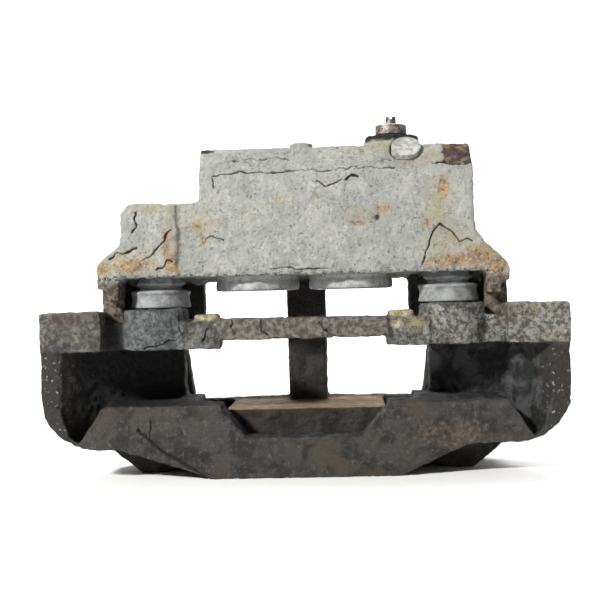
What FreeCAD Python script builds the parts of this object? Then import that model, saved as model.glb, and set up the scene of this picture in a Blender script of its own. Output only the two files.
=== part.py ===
"""Twin-piston floating brake caliper on its anchor bracket, as a FreeCAD document.

Millimetres. +Z points inboard along the wheel axis, +Y points away from the wheel's centre and X is tangential.
The origin is under the middle of the assembly, on the outboard face that it stands on.
"""
import FreeCAD, Part
import math
import os
import Sketcher

V = FreeCAD.Vector

# alias: (value, what it is)
DIMS = {
    "hub_y": (-145.0, "wheel axis"),
    "slot_low": (44.0, "disc slot, outboard side"),
    "slot_high": (77.5, "disc slot, inboard side"),
    "arm_in": (174.0, "bracket arms, inner radius about the wheel axis"),
    "arm_out": (185.0, "bracket arms, outer radius"),
    "half_width": (158.0, "half the bracket's width"),
    "near": (-54.0, "near side of the bracket"),
    "arm_near": (-51.5, "near ends of the arms"),
    "arm_gap": (79.0, "half the gap between the arms over the disc"),
    "rail_low": (18.5, "bracket's outboard plates, outboard face"),
    "corner": (33.0, "radius of the bracket's outboard corners"),
    "plate_top": (94.0, "bracket's inboard plate, inboard face"),
    "lug_in": (121.0, "mounting lugs, inner side"),
    "lug_top": (101.0, "mounting lugs, inboard face"),
    "lug_x": (131.0, "mounting hole axis"),
    "lug_y": (-42.0, "mounting hole axis"),
    "lug_hole": (7.0, "mounting hole, M16 thread"),
    "horn_in": (50.0, "blocks beside the tie bar, inner side"),
    "horn_out": (75.0, "blocks beside the tie bar, outer side, inside the bosses"),
    "horn_near": (-50.0, "blocks beside the tie bar, near side"),
    "horn_back": (-33.0, "blocks beside the tie bar, far side"),
    "horn_top": (93.5, "blocks beside the tie bar, inboard face"),
    "nub_in": (51.0, "pad stops on the blocks, inner side"),
    "nub_out": (66.0, "pad stops on the blocks, outer side"),
    "nub_near": (-47.0, "pad stops on the blocks, near face"),
    "nub_top": (98.0, "pad stops on the blocks, inboard face"),
    "hollow_in": (118.0, "arm hollows, inner edge at the slot's floor"),
    "hollow_bed": (136.0, "arm hollows, lowest point"),
    "hollow_bend": (141.0, "arm hollows, where they turn up"),
    "hollow_side": (145.0, "arm hollows, foot of their outer side"),
    "hollow_lip": (146.5, "arm hollows, outer side at the slot's floor"),
    "hollow_floor": (22.0, "arm hollows, height of their lowest point"),
    "hollow_turn": (26.5, "arm hollows, height at which they turn up"),
    "hollow_rise": (37.5, "arm hollows, height of the foot of their outer side"),
    "abut_in": (73.0, "inboard pad guides"),
    "abut_out": (68.0, "outboard pad guides"),
    "tie_back": (-40.0, "tie bar, far side"),
    "tie_low": (83.0, "tie bar, outboard face"),
    "tie_high": (95.0, "tie bar, inboard face"),
    "bow_back": (-28.0, "bow, far side"),
    "bow_half": (56.0, "bow, half the length of its flat bottom"),
    "rise_left": (112.0, "bow, where its bottom meets the left plate"),
    "rise_right": (98.0, "bow, where its bottom meets the right plate"),
    "bow_end": (6.0, "bow, how far it runs on into the plates"),
    "bow_dip": (24.0, "bow, inboard face in the middle"),
    "dip_half": (35.0, "bow, half the length of the dip's floor"),
    "dip_wide": (52.0, "bow, half the length of the dip at its top"),
    "pin_x": (90.0, "guide pin axis"),
    "pin_y": (-15.0, "guide pin axis"),
    "boss_radius": (16.0, "guide pin boss"),
    "boss_front": (19.5, "guide pin boss, radius of its rounded front"),
    "boss_y": (-34.0, "guide pin boss, axis of its rounded front"),
    "recess": (-42.0, "plates beside the bosses, near face"),
    "notch_in": (110.0, "notches for the caliper's legs, inner side"),
    "notch_out": (126.5, "notches for the caliper's legs, outer side"),
    "notch_near": (-27.5, "notches for the caliper's legs, near side"),
    "boss_top": (101.5, "guide pin boss, inboard face"),
    "thread_radius": (6.0, "guide pin thread"),
    "bore_x": (29.5, "piston axis"),
    "bore_y": (-5.0, "piston axis"),
    "piston_radius": (24.0, "piston"),
    "running": (0.05, "running clearance, radial"),
    "bore_end": (177.0, "blind end of the bores"),
    "barrel": (33.0, "outside of the cylinder barrels"),
    "block_near": (-38.0, "cylinder block, near face"),
    "block_back": (8.0, "cylinder block, far face of its slab"),
    "block_left": (62.0, "cylinder block, left side"),
    "block_right": (104.5, "cylinder block, right side"),
    "block_low": (121.0, "cylinder block, outboard face"),
    "block_top": (200.0, "cylinder block, inboard face"),
    "bevel": (17.0, "bevel along the near top edge"),
    "ear_inner": (76.0, "left ear, inner edge of its raised face"),
    "ear_proud": (3.0, "left ear, height of its raised face"),
    "ear_side": (110.0, "left ear, side"),
    "ear_top": (166.0, "left ear, inboard face"),
    "skirt": (125.0, "ears and bridge, half width"),
    "skirt_top": (130.0, "height at which the ears reach full width"),
    "ear_chamfer": (6.0, "left ear, bevel of its top corner"),
    "skirt_edge": (4.0, "right ear, height of its outer edge"),
    "left_flare": (141.0, "left ear, where it starts to widen"),
    "right_flare": (145.0, "right ear, where it starts to widen"),
    "saddle_in": (189.0, "bridge, inner radius about the wheel axis"),
    "saddle_out": (199.0, "bridge, outer radius"),
    "shoulder": (150.0, "bridge shoulder, inboard face"),
    "slope_near": (34.0, "slope behind the shoulder, its near end"),
    "slope_far": (56.0, "slope behind the shoulder, its far end"),
    "slope_low": (132.0, "slope behind the shoulder, height of its far end"),
    "rib_half": (12.5, "bridge rib, half width"),
    "rib_near": (29.0, "bridge rib, near face"),
    "window_top": (118.0, "bridge windows, inboard edge"),
    "window_low": (40.0, "bridge windows, outboard edge"),
    "window_foot": (75.5, "bridge windows, outer edge at their foot"),
    "window_wide": (81.5, "bridge windows, outer edge beside the disc"),
    "window_narrow": (68.0, "bridge windows, outer edge beside the block"),
    "window_step": (90.0, "height at which the windows narrow"),
    "wall_top": (18.5, "outboard wall, inboard face"),
    "wall_near": (-24.0, "outboard wall, near face"),
    "wall_rise": (4.0, "hollow under the middle of the outboard wall"),
    "wall_tip": (0.5, "outboard wall, height of its outer edges"),
    "foot_slope": (70.0, "feet, where the hollow between them is at its full height"),
    "foot_in": (92.0, "feet, inner side"),
    "foot_out": (103.0, "feet, outer side"),
    "finger_half": (50.0, "fingers, half width"),
    "finger_near": (-23.0, "fingers, near face"),
    "finger_top": (38.5, "fingers, pad face"),
    "piston_low": (111.5, "pistons, outboard face"),
    "piston_top": (173.5, "pistons, inboard end"),
    "piston_edge": (1.0, "pistons, bevel at the open end"),
    "piston_bevel": (2.0, "pistons, bevel at the blind end"),
    "piston_lip": (2.5, "pistons, lip outside the boot's groove"),
    "groove_wide": (3.5, "pistons, width of the boot's groove"),
    "groove_deep": (1.5, "pistons, depth of the boot's groove"),
    "groove_slope": (0.5, "pistons, slope of the groove's sides"),
    "cup_radius": (18.5, "pistons, hollow"),
    "cup_depth": (44.0, "pistons, depth of the hollow"),
    "seal_low": (138.0, "seal groove, outboard side"),
    "seal_high": (142.5, "seal groove, inboard side"),
    "seal_radius": (27.4, "seal groove"),
    "seat_radius": (27.5, "dust boot seat"),
    "seat_end": (127.0, "dust boot seat, inboard end"),
    "retainer": (4.0, "dust boot retainers, height"),
    "boot_wall": (2.3, "dust boots, outside over the piston"),
    "soft_gap": (0.3, "clearance between a boot and what it slides over"),
    "pin_foot": (79.5, "guide pins, end of their thread"),
    "pin_bevel": (1.5, "guide pins, bevel at the inboard end"),
    "collar_high": (4.0, "guide pin collar, height"),
    "pin_radius": (9.0, "guide pin shank"),
    "collar": (12.5, "guide pin collar"),
    "short_top": (144.0, "left guide pin, inboard end"),
    "long_top": (176.0, "right guide pin, inboard end"),
    "short_bore": (158.0, "left guide bore, inboard end"),
    "long_bore": (190.0, "right guide bore, inboard end"),
    "bush_out": (12.5, "guide bush, outer radius"),
    "bush_end": (2.0, "guide bush, distance from the end of its bore"),
    "mouth": (19.5, "guide boot mouth in the ears, radius"),
    "mouth_end": (133.0, "guide boot mouth, inboard end"),
    "bleed_x": (57.0, "bleeder axis"),
    "bleed_y": (-7.0, "bleeder axis"),
    "bleed_foot": (188.0, "bleeder boss, foot"),
    "bleed_face": (206.5, "bleeder boss, inboard face"),
    "bleed_base": (19.5, "bleeder boss, radius at its foot"),
    "bleed_rim": (16.5, "bleeder boss, radius at its top"),
    "passage": (175.2, "fluid passage, height"),
    "inlet_radius": (4.5, "hose port, M10 thread"),
    "inlet_end": (184.0, "hose port, bottom"),
    "inlet_wall": (3.0, "hose port, wall of its boss"),
    "inlet_face": (204.0, "hose port boss, inboard face"),
    "leg_in": (111.5, "legs under the ears, inner side"),
    "leg_near": (-26.0, "legs, near face of their lower part"),
    "leg_back": (12.0, "legs, far face"),
    "leg_low": (92.0, "legs, outboard end"),
    "apron_side": (120.0, "legs, side of the part that reaches lower"),
    "apron_low": (107.5, "legs, end of their near part beside the bosses"),
    "apron_high": (114.5, "legs, end of their near part over the lugs"),
    "plug_x": (65.0, "cross-drilling plug axis"),
    "plug_y": (-24.9, "cross-drilling plug, where its axis meets the bevel"),
    "plug_z": (196.1, "cross-drilling plug, where its axis meets the bevel"),
    "plug_proud": (3.0, "cross-drilling plug, height above the bevel"),
    "plug_radius": (9.0, "cross-drilling plug"),
    "plug_seat": (7.5, "cross-drilling plug, depth below the bevel"),
    "plug_drill": (21.0, "drilling behind the plug, depth below the bevel"),
    "drill": (2.0, "fluid drillings, radius"),
    "cross_drill": (1.5, "cross passage, radius"),
    "bleed_thread": (5.0, "bleeder bore, radius"),
    "bleed_bottom": (192.0, "bleeder bore, bottom"),
    "spigot_radius": (8.6, "bleeder adapter, radius under its flange"),
    "flange_radius": (9.85, "bleeder adapter, flange"),
    "flange_low": (207.9, "bleeder adapter, outboard face of its flange"),
    "flange_high": (213.1, "bleeder adapter, top of the flange's side"),
    "crown": (213.9, "bleeder adapter, inboard face"),
    "crown_radius": (8.8, "bleeder adapter, radius of its inboard face"),
    "screw_cup": (1.3, "bleeder screw, radius of its bore"),
    "screw_floor": (200.0, "bleeder screw, end of its bore"),
    "screw_slot": (0.9, "bleeder screw, half the width of its slot"),
    "slot_deep": (1.6, "bleeder screw, depth of its slot"),
    "screw_radius": (3.05, "bleeder screw"),
    "screw_top": (219.0, "bleeder screw, inboard end"),
    "lap": (1.0, "how far joined solids overlap"),
    "past": (6.0, "how far a cutting tool starts outside the solid"),
    "beyond": (60.0, "reach of the tools that cut right through in Y"),
    "aside": (130.0, "reach of the tools that cut right through in X"),
}


class Size:
    """A length together with the spreadsheet expression that gives it."""

    def __init__(self, value, text):
        self.value = value
        self.text = text

    def _join(self, other, sign, value):
        text = other.text if isinstance(other, Size) else repr(float(other))
        return Size(value, f"({self.text} {sign} {text})")

    def __add__(self, other):
        return self._join(other, "+", self.value + number(other))

    def __sub__(self, other):
        return self._join(other, "-", self.value - number(other))

    def __mul__(self, other):
        return self._join(other, "*", self.value * number(other))

    def __neg__(self):
        return Size(-self.value, f"(-1 * {self.text})")


def number(size):
    return size.value if isinstance(size, Size) else float(size)


def sized(value):
    """A Size for a plain number too. Plain numbers are millimetres."""
    return value if isinstance(value, Size) else Size(float(value), repr(float(value)))


doc = FreeCAD.newDocument("BrakeCaliper")
sheet = doc.addObject("Spreadsheet::Sheet", "Dims")
for row, (alias, (value, meaning)) in enumerate(DIMS.items(), start=1):
    sheet.set(f"A{row}", meaning)
    sheet.set(f"B{row}", str(value))
    sheet.setAlias(f"B{row}", alias)
doc.recompute()


class Sheet:
    """Every aliased cell as a Size."""

    def __getattr__(self, alias):
        return Size(DIMS[alias][0], f"Dims.{alias}")


D = Sheet()
nodes = {}


def bind(item, prop, size):
    item.setExpression(prop, sized(size).text)


def place(item, x, y, z):
    for axis, at in (("x", x), ("y", y), ("z", z)):
        bind(item, f"Placement.Base.{axis}", at)
    return item


def node(label, item):
    """Registers a finished sub-part under its file's name."""
    item.Label = label
    nodes[label] = item
    return item


# ---- solids


def box(x0, x1, y0, y1, z0, z1):
    item = doc.addObject("Part::Box", "Box")
    bind(item, "Length", sized(x1) - sized(x0))
    bind(item, "Width", sized(y1) - sized(y0))
    bind(item, "Height", sized(z1) - sized(z0))
    return place(item, x0, y0, z0)


def cylinder(x, y, z0, z1, radius):
    item = doc.addObject("Part::Cylinder", "Cylinder")
    bind(item, "Radius", radius)
    bind(item, "Height", sized(z1) - sized(z0))
    return place(item, x, y, z0)


def along(direction, x, y, z, radius, length):
    """A cylinder that starts at x, y, z and runs in the given direction."""
    item = doc.addObject("Part::Cylinder", "Drilling")
    bind(item, "Radius", radius)
    bind(item, "Height", length)
    item.Placement = FreeCAD.Placement(V(0, 0, 0), FreeCAD.Rotation(V(0, 0, 1), V(*direction)))
    return place(item, x, y, z)


def cone(x, y, z0, z1, foot, top):
    item = doc.addObject("Part::Cone", "Cone")
    bind(item, "Radius1", foot)
    bind(item, "Radius2", top)
    bind(item, "Height", sized(z1) - sized(z0))
    return place(item, x, y, z0)


def fuse(*items):
    item = doc.addObject("Part::MultiFuse", "Union")
    item.Shapes = list(items)
    item.Refine = True
    return item


def cut(base, *tools):
    item = doc.addObject("Part::Cut", "Cut")
    item.Base = base
    item.Tool = tools[0] if len(tools) == 1 else fuse(*tools)
    item.Refine = True
    return item


def common(first, second):
    item = doc.addObject("Part::MultiCommon", "Common")
    item.Shapes = [first, second]
    item.Refine = True
    return item


def outline(sketch, points):
    """A closed polygon whose corners are tied to the spreadsheet."""
    corners = [V(number(a), number(b), 0) for a, b in points]
    count = len(corners)
    for i in range(count):
        sketch.addGeometry(Part.LineSegment(corners[i], corners[(i + 1) % count]), False)
    for i in range(count):
        sketch.addConstraint(Sketcher.Constraint("Coincident", i, 2, (i + 1) % count, 1))
    for i, point in enumerate(points):
        for kind, axis, size in (("DistanceX", -2, point[0]), ("DistanceY", -1, point[1])):
            pin_corner(sketch, i, kind, axis, size)


def pin_corner(sketch, corner, kind, axis, size):
    """Ties one coordinate of a corner to the origin. Distances are positive, so negative ones run backwards."""
    value = number(size)
    if abs(value) < 1e-9:
        sketch.addConstraint(Sketcher.Constraint("PointOnObject", corner, 1, axis))
        return
    ends = (-1, 1, corner, 1) if value > 0 else (corner, 1, -1, 1)
    index = sketch.addConstraint(Sketcher.Constraint(kind, *ends, abs(value)))
    length = sized(size) if value > 0 else -sized(size)
    sketch.setExpression(f"Constraints[{index}]", length.text)


def prism(points, turn, axis, low, high):
    """A polygon pushed along one axis, from low to high."""
    sketch = doc.addObject("Sketcher::SketchObject", "Outline")
    outline(sketch, points)
    sketch.Placement = FreeCAD.Placement(V(0, 0, 0), turn)
    bind(sketch, f"Placement.Base.{axis}", low)
    item = doc.addObject("Part::Extrusion", "Prism")
    item.Base = sketch
    item.DirMode = "Custom"
    item.Dir = V(axis == "x", axis == "y", axis == "z")
    item.Solid = True
    bind(item, "LengthFwd", sized(high) - sized(low))
    return item


def front_prism(points, low, high):
    """Corners are (x, z), and the prism runs along Y."""
    return prism(points, FreeCAD.Rotation(V(1, 0, 0), 90), "y", low, high)


def side_prism(points, low, high):
    """Corners are (y, z), and the prism runs along X."""
    turn = FreeCAD.Rotation(V(0, 1, 0), V(0, 0, 1), V(1, 0, 0), "ZXY")
    return prism(points, turn, "x", low, high)


def turned(label, profile, x, y):
    """A revolved body about a vertical axis at x, y. Corners are (radius, height)."""
    body = doc.addObject("PartDesign::Body", "Body")
    sketch = body.newObject("Sketcher::SketchObject", "Profile")
    plane = [item for item in body.Origin.OriginFeatures if item.Role == "XZ_Plane"][0]
    sketch.AttachmentSupport = [(plane, "")]
    sketch.MapMode = "FlatFace"
    outline(sketch, profile)
    spin = body.newObject("PartDesign::Revolution", "Revolution")
    spin.Profile = sketch
    spin.ReferenceAxis = (sketch, ["V_Axis"])
    spin.Angle = 360.0
    body.Tip = spin
    place(body, x, y, 0.0)
    return node(label, body) if label else body


def mirrored(points):
    """A closed outline from its right half, listed from bottom to top."""
    return list(points) + [(-x, z) for x, z in reversed(points)]


def span(side, inner, outer):
    """Low and high x of a stretch on the left (-1) or the right (1)."""
    return (inner, outer) if side > 0 else (-outer, -inner)


def at(side, size):
    return size if side > 0 else -size


SIDES = (("left", -1), ("right", 1))


# ---- anchor bracket


def bracket_channel():
    """The two arms with their inboard and outboard plates, cut round by the disc's clearance."""
    near, far, high = D.near - D.past, D.beyond, D.lug_top + D.past
    centre = D.half_width - D.corner
    edge = [(centre, D.rail_low), (D.half_width, D.rail_low + D.corner), (D.half_width, D.lug_top)]
    face = front_prism(mirrored(edge), D.near, far)
    rounds = [
        along((0, 1, 0), at(s, centre), D.near, D.rail_low + D.corner, D.corner, D.beyond - D.near)
        for _, s in SIDES
    ]
    block = common(fuse(face, *rounds), cylinder(0.0, D.hub_y, 0.0, high, D.arm_out))
    over, under = D.slot_high - D.lap, D.slot_low + D.lap
    tools = [
        cylinder(0.0, D.hub_y, D.slot_low, D.slot_high, D.arm_in),
        box(-D.arm_gap, D.arm_gap, near, far, D.slot_low, D.slot_high),
        box(-D.half_width - D.lap, D.half_width + D.lap, near, D.arm_near, D.slot_low, D.slot_high),
        box(-D.horn_in, D.horn_in, near, far, over, high),
        box(-D.abut_in, D.abut_in, D.horn_back, far, over, high),
        box(-D.abut_out, D.abut_out, D.bow_back, far, 0.0, under),
        box(-D.horn_in, D.horn_in, near, far, 0.0, under),
        box(-D.lug_in, D.lug_in, near, far, D.plate_top, high),
        box(-D.lug_in, D.lug_in, near, D.recess, over, high),
    ]
    return cut(block, *tools)


def arm_hollows():
    """The slot's floor slopes down beside each arm, so that the wall wraps round its corner evenly."""
    limit = cylinder(0.0, D.hub_y, 0.0, D.lug_top, D.arm_in)
    hollows = []
    for _, s in SIDES:
        points = [
            (at(s, D.hollow_in), D.slot_low + D.lap),
            (at(s, D.lug_in), D.slot_low - D.lap),
            (at(s, D.hollow_bed), D.hollow_floor),
            (at(s, D.hollow_bend), D.hollow_turn),
            (at(s, D.hollow_side), D.hollow_rise),
            (at(s, D.hollow_lip), D.slot_low + D.lap),
        ]
        hollows.append(common(front_prism(points, D.near - D.past, D.beyond), limit))
    return hollows


def bow_edge(side, rise):
    """One half of the bow's outline, from the bottom to the top."""
    end = rise + D.bow_end
    corners = [(D.bow_half, 0.0), (rise, D.rail_low), (end, D.rail_low), (end, D.slot_low)]
    corners += [(D.dip_wide, D.slot_low), (D.dip_half, D.bow_dip)]
    return [(at(side, x), z) for x, z in corners]


def bracket_bow():
    """The bow that joins the outboard plates: deep and dipped in the middle."""
    edge = bow_edge(1, D.rise_right) + bow_edge(-1, D.rise_left)[::-1]
    return front_prism(edge, D.near, D.bow_back)


def bracket_side(side):
    """Guide pin boss with its rounded front, and the block with the pad stop beside the tie bar."""
    x = at(side, D.pin_x)
    boss = cylinder(x, D.pin_y, D.slot_high, D.boss_top, D.boss_radius)
    front = cylinder(x, D.boss_y, D.slot_high, D.boss_top, D.boss_front)
    between = box(x - D.boss_radius, x + D.boss_radius, D.boss_y, D.pin_y, D.slot_high, D.boss_top)
    x0, x1 = span(side, D.horn_in, D.horn_out)
    horn = box(x0, x1, D.horn_near, D.horn_back, D.slot_high, D.horn_top)
    x0, x1 = span(side, D.nub_in, D.nub_out)
    nub = box(x0, x1, D.nub_near, D.horn_back, D.horn_top - D.lap, D.nub_top)
    return [boss, front, between, horn, nub]


def leg_notch(side):
    """The caliper's leg slides in it, over the arm."""
    x0, x1 = span(side, D.notch_in, D.notch_out)
    return box(x0, x1, D.notch_near, D.beyond, D.slot_high, D.lug_top + D.past)


def anchor_bracket():
    tie = box(-D.horn_in - D.lap, D.horn_in + D.lap, D.near, D.tie_back, D.tie_low, D.tie_high)
    sides = bracket_side(-1) + bracket_side(1)
    channel = cut(bracket_channel(), *arm_hollows())
    solid = fuse(channel, bracket_bow(), tie, *sides)
    low, high = D.slot_high - D.past, D.lug_top + D.past
    tools = []
    for _, s in SIDES:
        tools.append(cylinder(at(s, D.lug_x), D.lug_y, low, high, D.lug_hole))
        tools.append(cylinder(at(s, D.pin_x), D.pin_y, low, high, D.thread_radius))
        tools.append(leg_notch(s))
    node("anchor_bracket", cut(solid, *tools))


# ---- caliper housing


def block_outline():
    """Cylinder block and ears, seen from the near side."""
    return [
        (-D.skirt, D.block_low),
        (D.skirt, D.block_low),
        (D.skirt, D.block_low + D.skirt_edge),
        (D.block_right, D.right_flare),
        (D.block_right, D.block_top),
        (-D.block_left, D.block_top),
        (-D.block_left, D.ear_top),
        (-D.ear_side + D.ear_chamfer, D.ear_top),
        (-D.ear_side, D.ear_top - D.ear_chamfer),
        (-D.ear_side, D.left_flare),
        (-D.skirt, D.skirt_top),
    ]


def raised_ear():
    """The left ear's face stands a little proud of the cylinder block's."""
    edge = [(-D.ear_inner, D.block_low), (-D.ear_inner, D.ear_top), (-D.ear_side + D.ear_chamfer, D.ear_top)]
    corners = [(-D.skirt, D.block_low), (-D.skirt, D.skirt_top), (-D.ear_side, D.left_flare)]
    corners.append((-D.ear_side, D.ear_top - D.ear_chamfer))
    return front_prism(edge + corners[::-1], D.block_near - D.ear_proud, D.block_near + D.lap)


def shoulder_outline():
    """The same outline up to the top of the bridge's shoulder."""
    foot = D.block_low - D.past
    return [
        (-D.skirt, foot),
        (D.skirt, foot),
        (D.skirt, D.block_low + D.skirt_edge),
        (D.block_right, D.right_flare),
        (D.block_right, D.shoulder),
        (-D.ear_side, D.shoulder),
        (-D.ear_side, D.left_flare),
        (-D.skirt, D.skirt_top),
    ]


def cylinder_block():
    slab = front_prism(block_outline(), D.block_near, D.block_back)
    barrels = [cylinder(at(s, D.bore_x), D.bore_y, D.block_low, D.block_top, D.barrel) for _, s in SIDES]
    back = front_prism(shoulder_outline(), D.block_back - D.lap, D.beyond)
    shoulder = common(back, cylinder(0.0, D.hub_y, 0.0, D.block_top, D.saddle_out))
    under = box(-D.aside, D.aside, -D.beyond, D.beyond, D.block_low - D.past * 2.0, D.block_low)
    return [slab, raised_ear(), *barrels, cut(shoulder, under)]


def leg(side):
    """Under each ear, down to the bracket's plate: its near part stops short of the boss and the lug."""
    near = D.block_near - D.ear_proud if side < 0 else D.block_near
    top, meet = D.block_low + D.lap, D.leg_near + D.lap
    x0, x1 = span(side, D.leg_in, D.skirt)
    column = box(x0, x1, D.leg_near, D.leg_back, D.leg_low, top)
    apron = box(x0, x1, near, meet, D.apron_high, top)
    x0, x1 = span(side, D.leg_in, D.apron_side)
    return [column, apron, box(x0, x1, near, meet, D.apron_low, top)]


def saddle():
    """The bridge over the disc: a curved wall with two windows and the rib between them."""
    top = D.block_low + D.lap
    ring = cut(
        cylinder(0.0, D.hub_y, 0.0, top, D.saddle_out),
        cylinder(0.0, D.hub_y, -D.lap, top + D.lap, D.saddle_in),
    )
    wall = common(ring, box(-D.skirt, D.skirt, D.block_near, D.beyond, 0.0, top))
    edge = [(D.window_foot, D.window_low), (D.window_wide, D.window_step)]
    wide = front_prism(mirrored(edge), 0.0, D.beyond)
    narrow = box(-D.window_narrow, D.window_narrow, 0.0, D.beyond, D.window_step - D.lap, D.window_top)
    rib = box(-D.rib_half, D.rib_half, D.rib_near, D.beyond, D.wall_rise + D.lap, top)
    rib = common(rib, cylinder(0.0, D.hub_y, 0.0, D.block_top, D.saddle_out))
    return [cut(wall, wide, narrow), rib]


def outboard_wall():
    """The wall that reaches round the disc's outboard side, with its feet and the finger block."""
    edge = [
        (D.foot_slope, D.wall_rise),
        (D.foot_in, 0.0),
        (D.foot_out, 0.0),
        (D.skirt, D.wall_top - D.wall_tip),
        (D.skirt, D.wall_top),
    ]
    wall = front_prism(mirrored(edge), D.wall_near, D.beyond)
    block = box(-D.finger_half, D.finger_half, D.finger_near, D.beyond, D.wall_rise, D.finger_top)
    limits = [cylinder(0.0, D.hub_y, -D.lap, D.beyond, D.saddle_out) for _ in SIDES]
    return [common(wall, limits[0]), common(block, limits[1])]


def corner_cutters():
    """Slopes off the lower outer corners of the bridge, level with the feet."""
    cutters = []
    for _, s in SIDES:
        points = [
            (at(s, D.foot_out), 0.0),
            (at(s, D.foot_out), -D.past),
            (at(s, D.skirt + D.past), -D.past),
            (at(s, D.skirt + D.past), D.wall_top),
            (at(s, D.skirt), D.wall_top - D.wall_tip),
        ]
        cutters.append(front_prism(points, -D.beyond, D.beyond))
    return cutters


def bevel_cutters():
    """The bevel along the near top edge, and the slope down to the shoulder at the back."""
    out, up = D.block_near - D.lap, D.block_top + D.lap
    near = [
        (out, D.block_top - D.bevel),
        (D.block_near, D.block_top - D.bevel),
        (D.block_near + D.bevel, D.block_top),
        (D.block_near + D.bevel, up),
        (out, up),
    ]
    back = [
        (D.slope_far, D.slope_low),
        (D.slope_far, D.shoulder + D.lap),
        (D.slope_near, D.shoulder + D.lap),
        (D.slope_near, D.shoulder),
    ]
    return [side_prism(near, -D.aside, D.aside), side_prism(back, -D.aside, D.aside)]


def piston_bores():
    """Each bore has a groove for its seal and a wider seat for its dust boot."""
    low = D.block_low - D.past
    tools = []
    for _, s in SIDES:
        x = at(s, D.bore_x)
        tools.append(cylinder(x, D.bore_y, low, D.bore_end, D.piston_radius + D.running))
        tools.append(cylinder(x, D.bore_y, D.seal_low, D.seal_high, D.seal_radius))
        tools.append(cylinder(x, D.bore_y, low, D.seat_end, D.seat_radius))
    return tools


def guide_bores():
    """Blind bores into both ears: a wide mouth for the boot, then the bush's bore."""
    low = D.block_low - D.past
    tools = []
    for side, end in ((-1, D.short_bore), (1, D.long_bore)):
        x = at(side, D.pin_x)
        tools.append(cylinder(x, D.pin_y, low, D.mouth_end, D.mouth))
        tools.append(cylinder(x, D.pin_y, low, end, D.bush_out))
    return tools


def plug_axis(above, radius, length):
    """A cylinder square to the bevel, from a height above it inwards. The bevel is at 45 degrees."""
    rise = above * math.sqrt(0.5)
    return along((0, 1, -1), D.plug_x, D.plug_y - rise, D.plug_z + rise, radius, length)


def fluid_ways():
    """Hose port, bleeder bore, cross passage, and the drilling behind the plug with the plug's seat."""
    return [
        cylinder(0.0, D.bore_y, D.inlet_end, D.inlet_face + D.lap, D.inlet_radius),
        cylinder(0.0, D.bore_y, D.passage - D.lap, D.inlet_end + D.lap, D.drill),
        along((1, 0, 0), -D.bore_x, D.bore_y, D.passage, D.cross_drill, D.plug_x + D.bore_x),
        cylinder(D.bleed_x, D.bleed_y, D.bleed_bottom, D.bleed_face + D.lap, D.bleed_thread),
        cylinder(D.bleed_x, D.bleed_y, D.passage, D.bleed_bottom + D.lap, D.drill),
        plug_axis(sized(0.0), D.drill, D.plug_drill),
        plug_axis(D.past * 2.0, D.plug_radius, D.past * 2.0 + D.plug_seat),
    ]


def caliper_housing():
    solid = fuse(*cylinder_block(), *saddle(), *outboard_wall(), *leg(-1), *leg(1))
    solid = cut(solid, *corner_cutters(), *bevel_cutters())
    boss = cone(D.bleed_x, D.bleed_y, D.bleed_foot, D.bleed_face, D.bleed_base, D.bleed_rim)
    port = cylinder(0.0, D.bore_y, D.block_top - D.lap, D.inlet_face, D.inlet_radius + D.inlet_wall)
    solid = fuse(solid, boss, port)
    node("caliper_housing", cut(solid, *piston_bores(), *guide_bores(), *fluid_ways()))


# ---- pistons, seals and their boots


def piston_profile():
    """A cup, open towards the disc, with a groove for its boot."""
    low, r = D.piston_low, D.piston_radius
    groove, neck = low + D.piston_lip, r - D.groove_deep
    return [
        (D.cup_radius, low),
        (r - D.piston_edge, low),
        (r, low + D.piston_edge),
        (r, groove),
        (neck, groove + D.groove_slope),
        (neck, groove + D.groove_wide - D.groove_slope),
        (r, groove + D.groove_wide),
        (r, D.piston_top - D.piston_bevel),
        (r - D.piston_bevel, D.piston_top),
        (0.0, D.piston_top),
        (0.0, low + D.cup_depth),
        (D.cup_radius, low + D.cup_depth),
    ]


def ring_profile(inner, outer, low, high):
    return [(inner, low), (outer, low), (outer, high), (inner, high)]


def dust_boot_profile():
    """The bead sits in the piston's groove; the skin runs up into the seat in the housing."""
    low, r = D.piston_low, D.piston_radius
    bead, inside, outside = r - 1.4, r + D.soft_gap, r + D.boot_wall
    return [
        (bead, low + 3.1),
        (inside, low + 3.1),
        (inside, low + 0.4),
        (r + 1.2, low + 0.1),
        (r + 1.9, low + 2.4),
        (outside, low + 7.0),
        (outside, D.seat_end),
        (inside, D.seat_end),
        (inside, low + 6.0),
        (bead, low + 5.4),
    ]


def piston_parts():
    seal = ring_profile(D.piston_radius + D.running, D.seal_radius, D.seal_low, D.seal_high)
    skin = D.piston_radius + D.boot_wall
    retainer = ring_profile(skin, D.seat_radius, D.seat_end - D.retainer, D.seat_end)
    for name, s in SIDES:
        x = at(s, D.bore_x)
        turned(f"piston_{name}", piston_profile(), x, D.bore_y)
        turned(f"piston_seal_{name}", seal, x, D.bore_y)
        turned(f"piston_boot_{name}", dust_boot_profile(), x, D.bore_y)
        turned(f"boot_retainer_{name}", retainer, x, D.bore_y)


# ---- guide pins, bushes and boots


def guide_pin(name, side, top):
    """Threaded into the boss as far as its collar; the shank slides in the caliper's bush."""
    seat = D.boss_top
    shoulder = seat + D.collar_high
    profile = [
        (0.0, D.pin_foot),
        (D.thread_radius, D.pin_foot),
        (D.thread_radius, seat),
        (D.collar, seat),
        (D.collar, shoulder),
        (D.pin_radius, shoulder + D.lap),
        (D.pin_radius, top - D.pin_bevel),
        (D.pin_radius - D.pin_bevel, top),
        (0.0, top),
    ]
    turned(f"guide_pin_{name}", profile, at(side, D.pin_x), D.pin_y)


def guide_bush(name, side, end):
    profile = ring_profile(D.pin_radius + D.running, D.bush_out, D.mouth_end, end - D.bush_end)
    turned(f"pin_bush_{name}", profile, at(side, D.pin_x), D.pin_y)


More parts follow.
